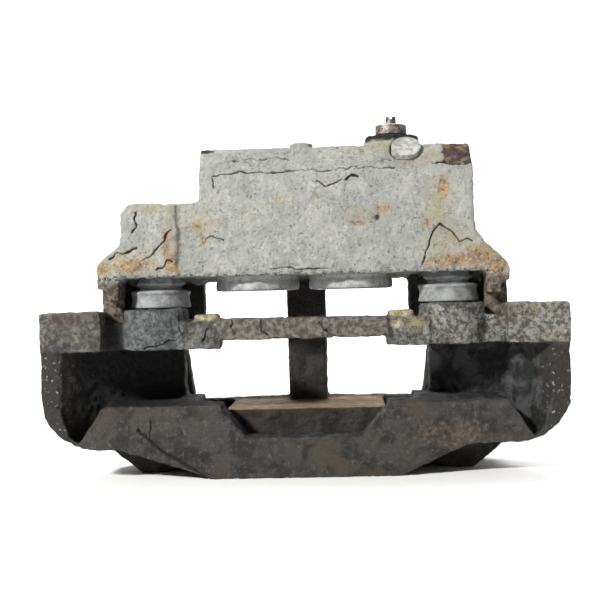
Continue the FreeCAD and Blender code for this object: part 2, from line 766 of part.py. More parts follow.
def guide_boot(name, side):
    """A wide band on the boss, a neck, and a fold that ends in the ear's mouth."""
    low = D.boss_top + D.soft_gap * 3.0
    end = D.mouth_end - 2.0
    band, neck, fold = D.mouth - 1.0, D.mouth - 5.5, D.mouth - 3.5
    over_collar, over_pin = D.collar + D.soft_gap, D.pin_radius + D.soft_gap
    profile = [
        (over_collar, low),
        (band, low),
        (band - 0.6, low + 5.0),
        (band, low + 10.6),
        (neck, low + 11.2),
        (neck, low + 12.4),
        (fold, low + 14.0),
        (fold, low + 18.0),
        (neck, low + 20.0),
        (fold, low + 22.0),
        (fold, end),
        (over_pin, end),
        (over_pin, end - 2.0),
        (neck - 1.5, end - 2.0),
        (neck - 1.5, low + 9.0),
        (over_collar, low + 9.0),
    ]
    turned(f"guide_pin_boot_{name}", profile, at(side, D.pin_x), D.pin_y)


def guide_parts():
    for name, s, pin_top, bore_end in (
        ("left", -1, D.short_top, D.short_bore),
        ("right", 1, D.long_top, D.long_bore),
    ):
        guide_pin(name, s, pin_top)
        guide_bush(name, s, bore_end)
        guide_boot(name, s)


# ---- bleeder and plug


def bleeder_parts():
    """A round adapter with a flange, and the slotted bleeder screw in it."""
    low, bore = D.bleed_bottom, D.screw_radius + D.running
    adapter = [
        (bore, low),
        (D.bleed_thread, low),
        (D.bleed_thread, D.bleed_face),
        (D.spigot_radius, D.bleed_face),
        (D.spigot_radius, D.flange_low),
        (D.flange_radius, D.flange_low),
        (D.flange_radius, D.flange_high),
        (D.crown_radius, D.crown),
        (bore, D.crown),
    ]
    head, tip = D.screw_radius + 0.2, 1.5
    screw = [
        (0.0, low + 0.5),
        (tip, low + 0.5),
        (D.screw_radius, low + 3.0),
        (D.screw_radius, D.crown),
        (head, D.crown + 0.5),
        (head, D.screw_top),
        (D.screw_cup, D.screw_top),
        (D.screw_cup, D.screw_floor),
        (0.0, D.screw_floor),
    ]
    turned("bleeder_adapter", adapter, D.bleed_x, D.bleed_y)
    body = turned("", screw, D.bleed_x, D.bleed_y)
    x, y, half = D.bleed_x, D.bleed_y, D.screw_slot
    ends = (D.screw_top - D.slot_deep, D.screw_top + D.lap)
    notch = box(x - half, x + half, y - D.bleed_thread, y + D.bleed_thread, *ends)
    node("bleeder_screw", cut(body, notch))


def cross_drill_plug():
    node("cross_drill_plug", plug_axis(D.plug_proud, D.plug_radius, D.plug_proud + D.plug_seat))


def build():
    anchor_bracket()
    caliper_housing()
    piston_parts()
    guide_parts()
    bleeder_parts()
    cross_drill_plug()


def export():
    """Recomputes, checks every object and writes one STEP file for each sub-part."""
    doc.recompute()
    for item in doc.Objects:
        if "Invalid" in item.State or "Error" in item.State:
            raise RuntimeError(f"{item.Name} {item.Label} failed: {item.State}")
    os.makedirs("parts", exist_ok=True)
    for label, item in sorted(nodes.items()):
        shape = item.Shape
        if shape.isNull() or not shape.isValid() or shape.Volume <= 0:
            raise RuntimeError(f"{label} has no valid solid")
        shape.exportStep(f"parts/{label}.step")
        b = shape.BoundBox
        spans = f"x {b.XMin:.1f} {b.XMax:.1f}, y {b.YMin:.1f} {b.YMax:.1f}, z {b.ZMin:.1f} {b.ZMax:.1f}"
        print(f"{label}: {len(shape.Solids)} solid(s), {shape.Volume / 1000:.2f} cm3, {spans}")


build()
export()
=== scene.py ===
import itertools
import math

import bmesh
import bpy
import numpy as np
from mathutils import Matrix, Vector


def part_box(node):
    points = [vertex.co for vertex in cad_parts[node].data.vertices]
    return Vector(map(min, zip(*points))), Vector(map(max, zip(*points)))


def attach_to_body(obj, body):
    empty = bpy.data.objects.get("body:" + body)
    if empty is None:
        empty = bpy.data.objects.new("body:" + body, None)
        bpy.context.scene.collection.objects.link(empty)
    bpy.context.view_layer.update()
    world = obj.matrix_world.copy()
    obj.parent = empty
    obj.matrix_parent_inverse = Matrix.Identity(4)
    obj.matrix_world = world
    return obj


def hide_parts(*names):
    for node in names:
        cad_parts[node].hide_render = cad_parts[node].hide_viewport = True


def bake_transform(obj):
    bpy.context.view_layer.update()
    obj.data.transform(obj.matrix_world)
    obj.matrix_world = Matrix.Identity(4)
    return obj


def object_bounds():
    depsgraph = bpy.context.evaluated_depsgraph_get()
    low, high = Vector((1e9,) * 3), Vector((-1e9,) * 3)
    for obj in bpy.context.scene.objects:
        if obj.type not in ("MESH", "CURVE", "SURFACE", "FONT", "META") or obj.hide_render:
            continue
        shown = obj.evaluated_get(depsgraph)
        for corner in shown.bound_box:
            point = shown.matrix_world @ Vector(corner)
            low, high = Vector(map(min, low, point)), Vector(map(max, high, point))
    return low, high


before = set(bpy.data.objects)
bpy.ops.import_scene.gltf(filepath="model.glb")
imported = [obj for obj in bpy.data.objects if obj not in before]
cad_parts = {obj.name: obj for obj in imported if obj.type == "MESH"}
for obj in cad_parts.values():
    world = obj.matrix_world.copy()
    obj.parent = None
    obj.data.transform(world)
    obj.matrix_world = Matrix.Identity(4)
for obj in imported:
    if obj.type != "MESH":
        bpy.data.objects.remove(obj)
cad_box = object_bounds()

MM = 0.001
SIDES = (("left", -1), ("right", 1))
COLLECTION = bpy.context.scene.collection

# Heights and places that the finish depends on, read from the frame
BLOCK_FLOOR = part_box("piston_boot_left")[1].z - 6 * MM
BARE_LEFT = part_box("caliper_housing")[1].x - 37.5 * MM

# The same, in metres, where no piece's box gives them
VOXEL = 1.25 * MM
BARE_LOW = 185.5 * MM
PAINT_LOW = 117 * MM
LEG_LOW = 90 * MM
LEG_INNER = 110.5 * MM
# Height above which the bleeder boss takes its crust and painted shadow
CRUST_AND_SHADOW_LOW = 202.5 * MM
PAD_FACE = 38.5 * MM
FINGER_HALF = 49.5 * MM
PLATE_LOW = 74.5 * MM
TIE_LOW, TIE_HIGH = 83 * MM, 95 * MM
TIE_HALF = 50 * MM
BOSS_INNER, BOSS_OUTER = 70.5 * MM, 110 * MM
RECESS_INNER, RECESS_OUTER = 109.5 * MM, 120.5 * MM
ARM_NEAR = 50.5 * MM
ARM_WALL = 137 * MM


def middle(node):
    low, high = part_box(node)
    return (low + high) / 2


def off_axis(p, node):
    """Distance of each point from the upright line through a node's middle."""
    return np.linalg.norm(p[:, :2] - np.array(middle(node))[:2], axis=1)


# ---------------------------------------------------------------- camera, floor and light


def add_camera():
    """Level with the piston boots and a little to the right of the middle, as a 70 mm lens sees it."""
    data = bpy.data.cameras.new("camera")
    data.lens = 70
    camera = bpy.data.objects.new("camera", data)
    COLLECTION.objects.link(camera)
    eye = Vector((0.022, -0.745, 0.1115))
    target = Vector((-0.0031, 0.0, 0.1051))
    roll = math.radians(-1.38)
    aim = (target - eye).to_track_quat("-Z", "Y").to_matrix().to_4x4()
    camera.matrix_world = Matrix.Translation(eye) @ aim @ Matrix.Rotation(roll, 4, "Z")
    bpy.context.scene.camera = camera


def area_light(name, place, target, size, watts, colour=(1, 1, 1)):
    data = bpy.data.lights.new(name, "AREA")
    data.size = size
    data.energy = watts
    data.color = colour
    lamp = bpy.data.objects.new(name, data)
    COLLECTION.objects.link(lamp)
    lamp.location = place
    lamp.rotation_euler = (Vector(target) - Vector(place)).to_track_quat("-Z", "Y").to_euler()


def staged_plane(name, size, place, turn, colour, glow=0.0):
    """A plain matt sheet behind or under the object. The backdrop glows a little, as lit paper does."""
    bpy.ops.mesh.primitive_plane_add(size=size, location=place, rotation=turn)
    sheet = bpy.context.object
    sheet.name = name
    paint = bpy.data.materials.new(name)
    paint.use_nodes = True
    surface = paint.node_tree.nodes["Principled BSDF"]
    surface.inputs["Base Color"].default_value = (*colour, 1)
    surface.inputs["Roughness"].default_value = 0.9
    surface.inputs["Emission Color"].default_value = (*colour, 1)
    surface.inputs["Emission Strength"].default_value = glow
    sheet.data.materials.append(paint)


def add_studio():
    """A pale floor and backdrop, a key light from the upper left, a soft top light and a dim surround."""
    paper, width, upright = (0.9, 0.9, 0.9), 16, (math.radians(90), 0, 0)
    staged_plane("floor", width, (0, 0, 0), (0, 0, 0), paper)
    staged_plane("backdrop", width, (0, 3.2, 0), upright, paper, glow=0.8)
    area_light("key", (-1.15, -1.42, 1.12), (0, 0, 0.1), size=0.20, watts=70, colour=(1.0, 0.985, 0.96))
    area_light("top", (0.2, 1.3, 2.2), (0, 0.6, 0), size=1.8, watts=60)
    world = bpy.data.worlds.new("surround")
    world.use_nodes = True
    world.node_tree.nodes["Background"].inputs["Color"].default_value = (1, 1, 1, 1)
    world.node_tree.nodes["Background"].inputs["Strength"].default_value = 0.20
    bpy.context.scene.world = world
    bpy.context.scene.view_settings.view_transform = "Standard"


# ---------------------------------------------------------------- noise and masks, worked out per vertex

HASH_STEPS = np.array([73856093, 19349663, 83492791], np.int64)


def noise(points, wavelength, seed):
    """Smooth value noise from -1 to 1 at each point."""
    place = points / wavelength + 500.0
    cell = np.floor(place).astype(np.int64)
    t = place - cell
    t = t * t * (3 - 2 * t)
    total = np.zeros(len(points))
    for corner in itertools.product((0, 1), repeat=3):
        mixed = ((cell + np.array(corner)) * HASH_STEPS).sum(1) + seed * 1013904223
        mixed = (mixed ^ (mixed >> 13)) * 1274126177
        mixed = (mixed ^ (mixed >> 16)) & 0xFFFF
        weight = np.where(np.array(corner), t, 1 - t).prod(1)
        total += weight * mixed / 0xFFFF
    return total * 2 - 1


def layered(points, wavelength, seed, octaves=3):
    """Several sizes of noise added up."""
    levels = [noise(points, wavelength / 2**i, seed + i) / 2**i for i in range(octaves)]
    return sum(levels) / sum(1 / 2**i for i in range(octaves))


def ramp(value, low, high):
    t = np.clip((value - low) / (high - low), 0, 1)
    return t * t * (3 - 2 * t)


def within(value, low, high, soft):
    """1 between low and high, and 0 outside, with soft edges."""
    return ramp(value, low - soft, low + soft) * (1 - ramp(value, high - soft, high + soft))


def blob(p, centre, radii):
    """A soft patch round a centre. Sizes are in millimetres."""
    away = (p - np.array(centre) * MM) / (np.array(radii) * MM)
    return np.exp(-(away**2).sum(1))


def line_distance(p, route):
    """Distance from each point, seen from the front, to a line through (x, z) corners in millimetres."""
    flat = p[:, [0, 2]]
    nearest = np.full(len(p), 1.0)
    for start, end in zip(route, route[1:]):
        a = np.array(start) * MM
        run = np.array(end) * MM - a
        t = np.clip(((flat - a) @ run) / (run @ run), 0, 1)
        nearest = np.minimum(nearest, np.linalg.norm(flat - a - t[:, None] * run, axis=1))
    return nearest


def coordinates(mesh):
    flat = np.zeros(len(mesh.vertices) * 3)
    mesh.vertices.foreach_get("co", flat)
    return flat.reshape(-1, 3)


def normals(mesh):
    flat = np.zeros(len(mesh.vertices) * 3)
    mesh.vertices.foreach_get("normal", flat)
    return flat.reshape(-1, 3)


def store(mesh, name, values):
    layer = mesh.attributes.new(name, "FLOAT", "POINT")
    layer.data.foreach_set("value", np.clip(values, 0, 1).astype(np.float32))


# ---------------------------------------------------------------- material building


class Shader:
    """A Principled material, with short calls for the nodes that feed it."""

    def __init__(self, name):
        self.material = bpy.data.materials.new(name)
        self.material.use_nodes = True
        self.tree = self.material.node_tree
        self.surface = self.tree.nodes["Principled BSDF"]
        self.place = self.add("ShaderNodeTexCoord").outputs["Object"]

    def add(self, kind, **settings):
        node = self.tree.nodes.new(kind)
        for key, value in settings.items():
            setattr(node, key, value)
        return node

    def feed(self, socket, value):
        if isinstance(value, bpy.types.NodeSocket):
            self.tree.links.new(value, socket)
        elif isinstance(value, tuple) and len(value) == 3:
            socket.default_value = (*value, 1)
        else:
            socket.default_value = value

    def noise(self, size_mm, detail=4.0, rough=0.6, warp=0.0):
        node = self.add("ShaderNodeTexNoise")
        self.feed(node.inputs["Vector"], self.place)
        node.inputs["Scale"].default_value = 1 / (size_mm * MM)
        node.inputs["Detail"].default_value = detail
        node.inputs["Roughness"].default_value = rough
        node.inputs["Distortion"].default_value = warp
        return node.outputs["Fac"]

    def cells(self, size_mm, feature="F1"):
        node = self.add("ShaderNodeTexVoronoi", feature=feature)
        self.feed(node.inputs["Vector"], self.place)
        node.inputs["Scale"].default_value = 1 / (size_mm * MM)
        return node.outputs["Distance"]

    def mask(self, name):
        return self.add("ShaderNodeAttribute", attribute_name=name).outputs["Fac"]

    def step(self, value, low, high, start=0.0, end=1.0):
        node = self.add("ShaderNodeMapRange", interpolation_type="SMOOTHSTEP")
        for socket, given in zip(node.inputs, (value, low, high, start, end)):
            self.feed(socket, given)
        return node.outputs["Result"]

    def math(self, operation, a, b):
        node = self.add("ShaderNodeMath", operation=operation, use_clamp=operation != "SUBTRACT")
        self.feed(node.inputs[0], a)
        self.feed(node.inputs[1], b)
        return node.outputs["Value"]

    def mix(self, share, a, b):
        node = self.add("ShaderNodeMix", data_type="RGBA")
        self.feed(node.inputs["Factor"], share)
        self.feed(node.inputs["A"], a)
        self.feed(node.inputs["B"], b)
        return node.outputs["Result"]

    def bump(self, height, depth_mm, under=None):
        node = self.add("ShaderNodeBump")
        node.inputs["Distance"].default_value = depth_mm * MM
        self.feed(node.inputs["Height"], height)
        if under is not None:
            self.feed(node.inputs["Normal"], under)
        return node.outputs["Normal"]

    def finish(self, colour, rough, normal=None, metallic=0.0):
        self.feed(self.surface.inputs["Base Color"], colour)
        self.feed(self.surface.inputs["Roughness"], rough)
        self.feed(self.surface.inputs["Metallic"], metallic)
        if normal is not None:
            self.feed(self.surface.inputs["Normal"], normal)
        return self.material


def flaking_paint():
    """Pale paint over cast iron, with rust, stains, bare patches and machined faces where the masks say;
    painted shadow along the block's lower edge and under the bleeder's ring; unpainted iron made darker in
    part as painted shade.
    """
    s = Shader("housing_flaking_paint")
    grain = s.noise(1.7, 5, 0.75)
    cloud = s.noise(16, 6, 0.65, 0.6)
    fine = s.noise(4.2, 6, 0.75)
    pores = s.cells(2.6)
    paint = s.mix(s.step(cloud, 0.36, 0.64), (0.36, 0.375, 0.355), (0.47, 0.475, 0.44))
    paint = s.mix(s.step(fine, 0.54, 0.70), paint, (0.62, 0.62, 0.58))
    paint = s.mix(s.step(fine, 0.43, 0.31), paint, (0.17, 0.175, 0.165))
    paint = s.mix(s.step(grain, 0.42, 0.34), paint, (0.055, 0.053, 0.047))
    stain = s.mix(s.step(s.noise(5, 5), 0.4, 0.62), (0.42, 0.33, 0.19), (0.38, 0.36, 0.21))
    stained = s.math("MULTIPLY", s.mask("stain"), s.step(s.noise(5, 6, 0.7), 0.36, 0.60))
    paint = s.mix(stained, paint, stain)
    rust = s.mix(s.step(s.noise(4.5, 6, 0.7), 0.42, 0.56), (0.17, 0.085, 0.036), (0.52, 0.34, 0.16))
    rust = s.mix(s.step(s.noise(1.8, 5), 0.52, 0.64), rust, (0.075, 0.045, 0.028))
    patchy = s.math("MULTIPLY", s.mask("rust"), s.step(s.noise(4.5, 6, 0.75), 0.28, 0.58))
    colour = s.mix(s.step(patchy, 0.15, 0.70, 0.0, 0.9), paint, rust)
    bare = s.mix(s.step(s.noise(5, 5), 0.50, 0.60), (0.040, 0.025, 0.024), (0.20, 0.115, 0.04))
    colour = s.mix(s.mask("bare"), colour, bare)
    # Unpainted iron below the paint and in the bores, near black: its own colour, made darker as painted
    # shade in the saddle.
    iron = s.mix(s.step(cloud, 0.4, 0.62), (0.016, 0.014, 0.012), (0.048, 0.040, 0.033))
    iron = s.mix(s.step(s.noise(1.8, 5), 0.66, 0.74), iron, (0.22, 0.21, 0.19))
    colour = s.mix(s.mask("iron"), colour, iron)
    brown = s.mix(s.step(fine, 0.4, 0.6), (0.055, 0.042, 0.032), (0.25, 0.21, 0.16))
    brown = s.mix(s.step(grain, 0.58, 0.7), brown, (0.42, 0.39, 0.34))
    colour = s.mix(s.mask("brown"), colour, brown)
    tan = s.mix(s.step(s.noise(6, 3), 0.4, 0.6), (0.24, 0.16, 0.075), (0.38, 0.28, 0.14))
    colour = s.mix(s.mask("machined"), colour, tan)
    # Dark ragged patches along the block's lower edge: painted shadow under the edge.
    dark_patches = s.math("MULTIPLY", s.mask("ledge_shadow"), s.step(s.noise(3.2, 6, 0.75), 0.48, 0.58))
    colour = s.mix(s.math("MAXIMUM", s.mask("black_marks"), dark_patches), colour, (0.006, 0.005, 0.004))
    relief = s.bump(fine, 4.0)
    relief = s.bump(pores, 1.2, relief)
    relief = s.bump(grain, 1.6, relief)
    rough = s.step(s.noise(4, 3), 0.3, 0.7, 0.6, 0.85)
    return s.finish(colour, rough, relief)


def weathered_iron():
    """Dark cast iron with road dust, lichen, cream deposits and pale specks where the masks say, greasy iron
    in the disc slot made darker as painted shade, and painted shadow on the left of the slot and in the
    recess beside the left lug.
    """
    s = Shader("bracket_weathered_iron")
    grain = s.noise(1.4, 6, 0.8)
    cloud = s.noise(12, 6, 0.65, 0.5)
    fine = s.noise(3.2, 6, 0.75)
    iron = s.mix(s.step(cloud, 0.38, 0.60), (0.016, 0.015, 0.014), (0.062, 0.055, 0.049))
    iron = s.mix(s.step(fine, 0.54, 0.64), iron, (0.11, 0.104, 0.096))
    iron = s.mix(s.step(s.noise(20, 4), 0.52, 0.68), iron, (0.075, 0.058, 0.042))
    iron = s.mix(s.step(grain, 0.66, 0.76), iron, (0.20, 0.19, 0.17))
    dust = s.mix(s.step(fine, 0.42, 0.58), (0.085, 0.082, 0.074), (0.46, 0.45, 0.41))
    dust = s.mix(s.step(grain, 0.45, 0.37), dust, (0.022, 0.021, 0.020))
    dust = s.mix(s.step(grain, 0.60, 0.66), dust, (0.60, 0.59, 0.55))
    colour = s.mix(s.math("MULTIPLY", s.mask("dust"), s.step(cloud, 0.2, 0.6)), iron, dust)
    boss = s.mix(s.step(fine, 0.42, 0.58), (0.055, 0.060, 0.063), (0.17, 0.18, 0.185))
    boss = s.mix(s.step(grain, 0.58, 0.66), boss, (0.46, 0.47, 0.47))
    colour = s.mix(s.mask("boss"), colour, boss)
    brown = s.mix(s.step(fine, 0.4, 0.6), (0.060, 0.042, 0.032), (0.17, 0.13, 0.10))
    colour = s.mix(s.step(s.math("MULTIPLY", s.mask("rust"), cloud), 0.12, 0.36, 0.0, 0.8), colour, brown)
    lichen = s.mix(s.step(s.noise(4, 5), 0.4, 0.6), (0.16, 0.13, 0.05), (0.34, 0.30, 0.14))
    grown = s.math("MULTIPLY", s.mask("lichen"), s.step(s.noise(4, 6, 0.7), 0.48, 0.60))
    colour = s.mix(grown, colour, lichen)
    scale = s.mix(s.step(s.noise(2.8, 6), 0.4, 0.6), (0.085, 0.070, 0.058), (0.235, 0.21, 0.18))
    scale = s.mix(s.step(grain, 0.62, 0.72), scale, (0.46, 0.44, 0.40))
    colour = s.mix(s.math("MULTIPLY", s.mask("scale"), s.step(cloud, 0.25, 0.45)), colour, scale)
    cream = s.mix(s.step(s.noise(2.5, 5), 0.4, 0.6), (0.34, 0.26, 0.10), (0.60, 0.56, 0.40))
    colour = s.mix(s.mask("cream"), colour, cream)
    # Greasy iron inside the disc slot, near black: partly its own colour, partly painted shade.
    grease_and_shade = s.mix(s.step(cloud, 0.42, 0.60), (0.010, 0.010, 0.010), (0.085, 0.088, 0.092))
    # Near black on the left of the slot and in the recess beside the left lug: painted shadow.
    grease_and_shade = s.mix(s.mask("painted_shadow"), grease_and_shade, (0.003, 0.003, 0.003))
    colour = s.mix(s.mask("grease_and_shade"), colour, grease_and_shade)
    ends = s.mix(s.step(s.noise(2.6, 5, 0.7), 0.60, 0.66), (0.026, 0.021, 0.018), (0.40, 0.38, 0.35))
    colour = s.mix(s.mask("ends"), colour, ends)
    colour = s.mix(s.mask("black_marks"), colour, (0.005, 0.004, 0.004))
    relief = s.bump(fine, 3.6)
    relief = s.bump(grain, 1.6, relief)
    return s.finish(colour, s.step(s.noise(4, 3), 0.3, 0.7, 0.5, 0.8), relief)


def dusty_rubber(name, dark, light):
    s = Shader(name)
    film = s.noise(6, 5, 0.65)
    colour = s.mix(s.step(film, 0.35, 0.65), dark, light)
    colour = s.mix(s.step(s.noise(1.4, 5, 0.7), 0.60, 0.72), colour, (0.50, 0.50, 0.47))
    colour = s.mix(s.step(s.noise(2.2, 6, 0.75), 0.42, 0.30), colour, (0.035, 0.035, 0.034))
    return s.finish(colour, s.step(film, 0.3, 0.7, 0.5, 0.72), s.bump(s.noise(1.4, 5, 0.7), 0.35))


def seal_rubber():
    s = Shader("seal_rubber")
    colour = s.mix(s.noise(3, 3), (0.012, 0.012, 0.012), (0.03, 0.03, 0.03))
    return s.finish(colour, 0.45, s.bump(s.noise(0.6, 2), 0.03))


def metal(name, dark, light, rough, depth_mm, grime=0.0, metallic=1.0):
    """Machined metal with fine tool marks, and grime in the share given."""
    s = Shader(name)
    colour = s.mix(s.step(s.noise(3, 5), 0.35, 0.65), dark, light)
    if grime:
        dark_patches = s.mix(s.noise(1.4, 4), (0.02, 0.017, 0.014), (0.16, 0.12, 0.08))
        colour = s.mix(s.step(s.noise(2.2, 6, 0.7), 0.7 - grime / 2, 0.85 - grime / 2), colour, dark_patches)
    marks = s.bump(s.noise(0.9, 4), depth_mm)
    return s.finish(colour, s.step(s.noise(2, 4), 0.3, 0.7, rough, rough + 0.2), marks, metallic)


# ---------------------------------------------------------------- castings


def remeshed(name, node, voxel):
    """A finer copy of a CAD node's mesh, with its edges rounded as a casting's are."""
    piece = bpy.data.objects.new(name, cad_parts[node].data.copy())
    COLLECTION.objects.link(piece)
    cells = piece.modifiers.new("cells", "REMESH")
    cells.mode = "VOXEL"
    cells.voxel_size = voxel
    rounding = piece.modifiers.new("rounding", "SMOOTH")
    rounding.factor = 0.5
    rounding.iterations = 4
    mesh = bpy.data.meshes.new_from_object(piece.evaluated_get(bpy.context.evaluated_depsgraph_get()))
    piece.modifiers.clear()
    piece.data = mesh
    mesh.materials.clear()
    mesh.polygons.foreach_set("use_smooth", [True] * len(mesh.polygons))
    return piece


def refine(mesh, chosen):
    """Cuts the faces round the chosen vertices into smaller ones, to make room for narrow cracks."""
    work = bmesh.new()
    work.from_mesh(mesh)
    work.verts.ensure_lookup_table()
    edges = [e for e in work.edges if chosen[e.verts[0].index] and chosen[e.verts[1].index]]
    bmesh.ops.subdivide_edges(work, edges=edges, cuts=2, use_grid_fill=True)
    work.to_mesh(mesh)
    work.free()
    mesh.polygons.foreach_set("use_smooth", [True] * len(mesh.polygons))
    mesh.update()


def crack_depth(p, routes):
    """1 along each crack and 0 away from it. The line wanders, and the crack opens and closes along it."""
    wander = p + np.stack([noise(p, 4 * MM, 21 + i) for i in range(3)], 1) * 1.2 * MM
    wander += np.stack([noise(p, 1.6 * MM, 25 + i) for i in range(3)], 1) * 0.4 * MM
    opening = 1.0 + 0.75 * noise(p, 7 * MM, 29)
    depth = np.zeros(len(p))
    for route, half_width in routes:
        away = line_distance(wander, route) / (half_width * MM * opening)
        depth = np.maximum(depth, 1 - ramp(away, 0.35, 1.25))
    return depth


def near_cracks(p, facing, routes):
    reach = np.full(len(p), 1.0)
    for route, _ in routes:
        reach = np.minimum(reach, line_distance(p, route))
    return (reach < 3.2 * MM) & (facing > 0.2)


def push(mesh, amount):
    """Moves each vertex along its normal, and no further out than the CAD box."""
    moved = coordinates(mesh) + normals(mesh) * amount[:, None]
    moved = np.clip(moved, np.array(cad_box[0]), np.array(cad_box[1]))
    mesh.vertices.foreach_set("co", moved.ravel())
    mesh.update()


def clear_of_bores(p):
    """0 in the piston and guide bores, where the casting is machined, and 1 elsewhere."""
    free = np.ones(len(p))
    for side, _ in SIDES:
        seal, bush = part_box(f"piston_seal_{side}")[1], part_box(f"pin_bush_{side}")[1]
        mouths = (("piston", 28.6, seal.z + 36 * MM), ("guide_pin", 20.4, BLOCK_FLOOR + 17 * MM))
        for node, radius, top in mouths:
            inside = off_axis(p, f"{node}_{side}") < radius * MM
            free *= 1 - inside * (p[:, 2] > BLOCK_FLOOR - 1 * MM) * (p[:, 2] < top)
        inside = off_axis(p, f"guide_pin_{side}") < 13.2 * MM
        free *= 1 - inside * (p[:, 2] > BLOCK_FLOOR) * (p[:, 2] < bush.z + 3 * MM)
    return free


# Cracks on the near face: (x, z) corners in millimetres, and half widths
HOUSING_CRACKS = (
    (((-53, 182), (-36, 184), (-20, 183), (-4, 184), (14, 183.5), (34, 185), (57, 184)), 0.50),
    (((-45, 191), (-34, 192), (-27, 192)), 0.35), (((-25, 191), (-14, 193), (-7, 191)), 0.35),
    (((-53, 181), (-52, 174)), 0.40), (((80, 186), (88, 187), (96, 185), (104, 186)), 0.55),
    (((10, 177), (15, 174), (20, 176), (25, 178)), 0.55), (((27, 178), (31, 180), (35, 179)), 1.10),
    (((-101, 160), (-100, 154), (-102, 149)), 0.50), (((-117, 133), (-110, 136), (-101, 139)), 0.60),
    (((-97, 131), (-90, 136), (-86, 140), (-82, 146), (-79, 150)), 0.55),
    (((73, 125), (75, 134), (80, 146), (84, 150), (89, 145), (95, 139), (103, 139)), 0.60),
    (((-88, 125), (-82, 131), (-79, 130)), 0.35), (((-20, 124), (-8, 126), (4, 124), (16, 125)), 0.35),
    (((40, 190), (48, 189), (55, 190)), 0.30), (((-62, 140), (-55, 145), (-47, 143)), 0.30),
)
# Patches on the housing: (x, y, z) of the middle and the three radii, in millimetres
RUST_SPOTS = (
    ((-101, -40, 128), (13, 8, 5)), ((-79, -40, 128), (5, 8, 9)), ((-82, -40, 141), (3, 8, 10)),
    ((-121, -40, 127), (5, 8, 5)), ((90, -38, 127), (16, 8, 5)), ((108, -38, 129), (14, 8, 7)),
    ((117, -38, 124), (8, 8, 7)), ((86, -38, 172), (4, 8, 8)), ((-64, -38, 152), (3, 6, 3)),
    ((-35, -38, 160), (2, 6, 2)), ((10, -38, 168), (1.6, 6, 1.8)), ((34, -38, 151), (7, 8, 1.8)),
    ((50, -38, 160), (5, 6, 2)), ((-60, -38, 144), (2, 6, 4)), ((76, -38, 150), (3, 6, 3)),
)
STAINS = (
    ((-88, -40, 163), (20, 8, 3)), ((-78, -40, 148), (5, 8, 18)), ((-108, -40, 130), (18, 8, 9)),
    ((88, -38, 138), (13, 8, 12)), ((84, -38, 160), (9, 8, 16)), ((78, -30, 190), (20, 12, 6)),
    ((42, -38, 157), (14, 8, 5)), ((110, -38, 136), (14, 8, 12)), ((-60, -38, 152), (10, 8, 8)),
    ((50, -20, 200), (18, 12, 6)), ((-12, -38, 166), (8, 8, 3)),
)
PEELING = (
    ((-100, -40, 145), (26, 10, 22)), ((0, -30, 192), (80, 16, 9)), ((90, -38, 140), (20, 10, 18)),
    ((20, -38, 176), (24, 8, 6)), ((-60, -38, 150), (14, 8, 20)),
)


def spread(p, spots, seed):
    """The strongest of several soft patches, with uneven edges."""
    uneven = 1 + 0.5 * layered(p, 5 * MM, seed, 4)
    return np.max([blob(p, *spot) for spot in spots], axis=0) * uneven


def attach(piece, material, body, node):
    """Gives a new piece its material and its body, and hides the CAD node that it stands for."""
    piece.data.materials.append(material)
    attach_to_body(piece, body)
    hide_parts(node)


def housing_wear(p, n):
    """Where the housing is cracked, pitted, bare of paint or machined."""
    near_face = ramp(-n[:, 1], 0.3, 0.6) * ramp(-p[:, 1], 0.016, 0.020)
    corner = (p[:, 0] - BARE_LEFT) / MM + 5 * layered(p, 6 * MM, 31)
    top_edge = (p[:, 2] - BARE_LOW) / MM + 2.5 * layered(p, 5 * MM, 32)
    on_pad_face = within(p[:, 2], PAD_FACE - 1 * MM, PAD_FACE + 1 * MM, 0.5 * MM) * ramp(n[:, 2], 0.6, 0.9)
    return {
        "near_face": near_face,
        "cracks": crack_depth(p, HOUSING_CRACKS) * near_face,
        "bare": ramp(corner, 0, 0.8) * ramp(top_edge, 0, 0.8) * (p[:, 1] < -0.002),
        "pit": blob(p, (46, -38, 154.5), (2.6, 6, 2.6)),
        "machined": on_pad_face * (abs(p[:, 0]) < FINGER_HALF),
    }


def housing_relief(p, wear):
    """How far each point stands proud, in millimetres: cast skin, peeling paint, pits and a ragged edge."""
    cast = layered(p, 3.6 * MM, 3, 2) * 0.62 + layered(p, 26 * MM, 5) * 0.6
    pits = ramp(noise(p, 2.8 * MM, 9), 0.55, 0.8) * 0.55
    flakes = ramp(layered(p, 11 * MM, 13, 4), -0.02, 0.03) * ramp(spread(p, PEELING, 15), 0.2, 0.5) * 0.5
    edge = within(p[:, 2], BLOCK_FLOOR, BLOCK_FLOOR + 7.2 * MM, 0.9 * MM) * (p[:, 1] < -0.030)
    ragged = edge * layered(p, 4.5 * MM, 17, 3) * 1.6
    return cast + flakes - pits + ragged - wear["cracks"] * 1.1 - wear["bare"] * 0.45 - wear["pit"] * 1.2


def dark_marks_and_shadow(p, wear):
    """Black cracks, the crust round the bleeder's foot, which is also painted shadow under the bleeder's
    ring, the gap round the plug, and two dark pits.
    """
    boss = off_axis(p, "bleeder_screw") < 24 * MM
    # Dark crust on the boss top under the bleeder's ring: partly real crust, partly painted shadow of the
    # ring.
    crust_and_shadow = boss * ramp(p[:, 2] + layered(p, 5 * MM, 45) * 2 * MM, CRUST_AND_SHADOW_LOW, CRUST_AND_SHADOW_LOW + 1.5 * MM)
    from_plug = p - np.array(middle("cross_drill_plug"))
    ring = within(np.linalg.norm(from_plug, axis=1), 8.9 * MM, 10.6 * MM, 0.6 * MM)
    lower_left = -from_plug[:, 0] - from_plug[:, 2] + layered(p, 4 * MM, 49) * 4 * MM
    gap = ring * ramp(lower_left, -4 * MM, 0)
    dark_end = ramp(blob(p, (-58, -22, 199), (6, 9, 3)), 0.4, 0.7)
    return np.max([wear["cracks"], crust_and_shadow, gap, dark_end, ramp(wear["pit"], 0.5, 0.8)], axis=0)


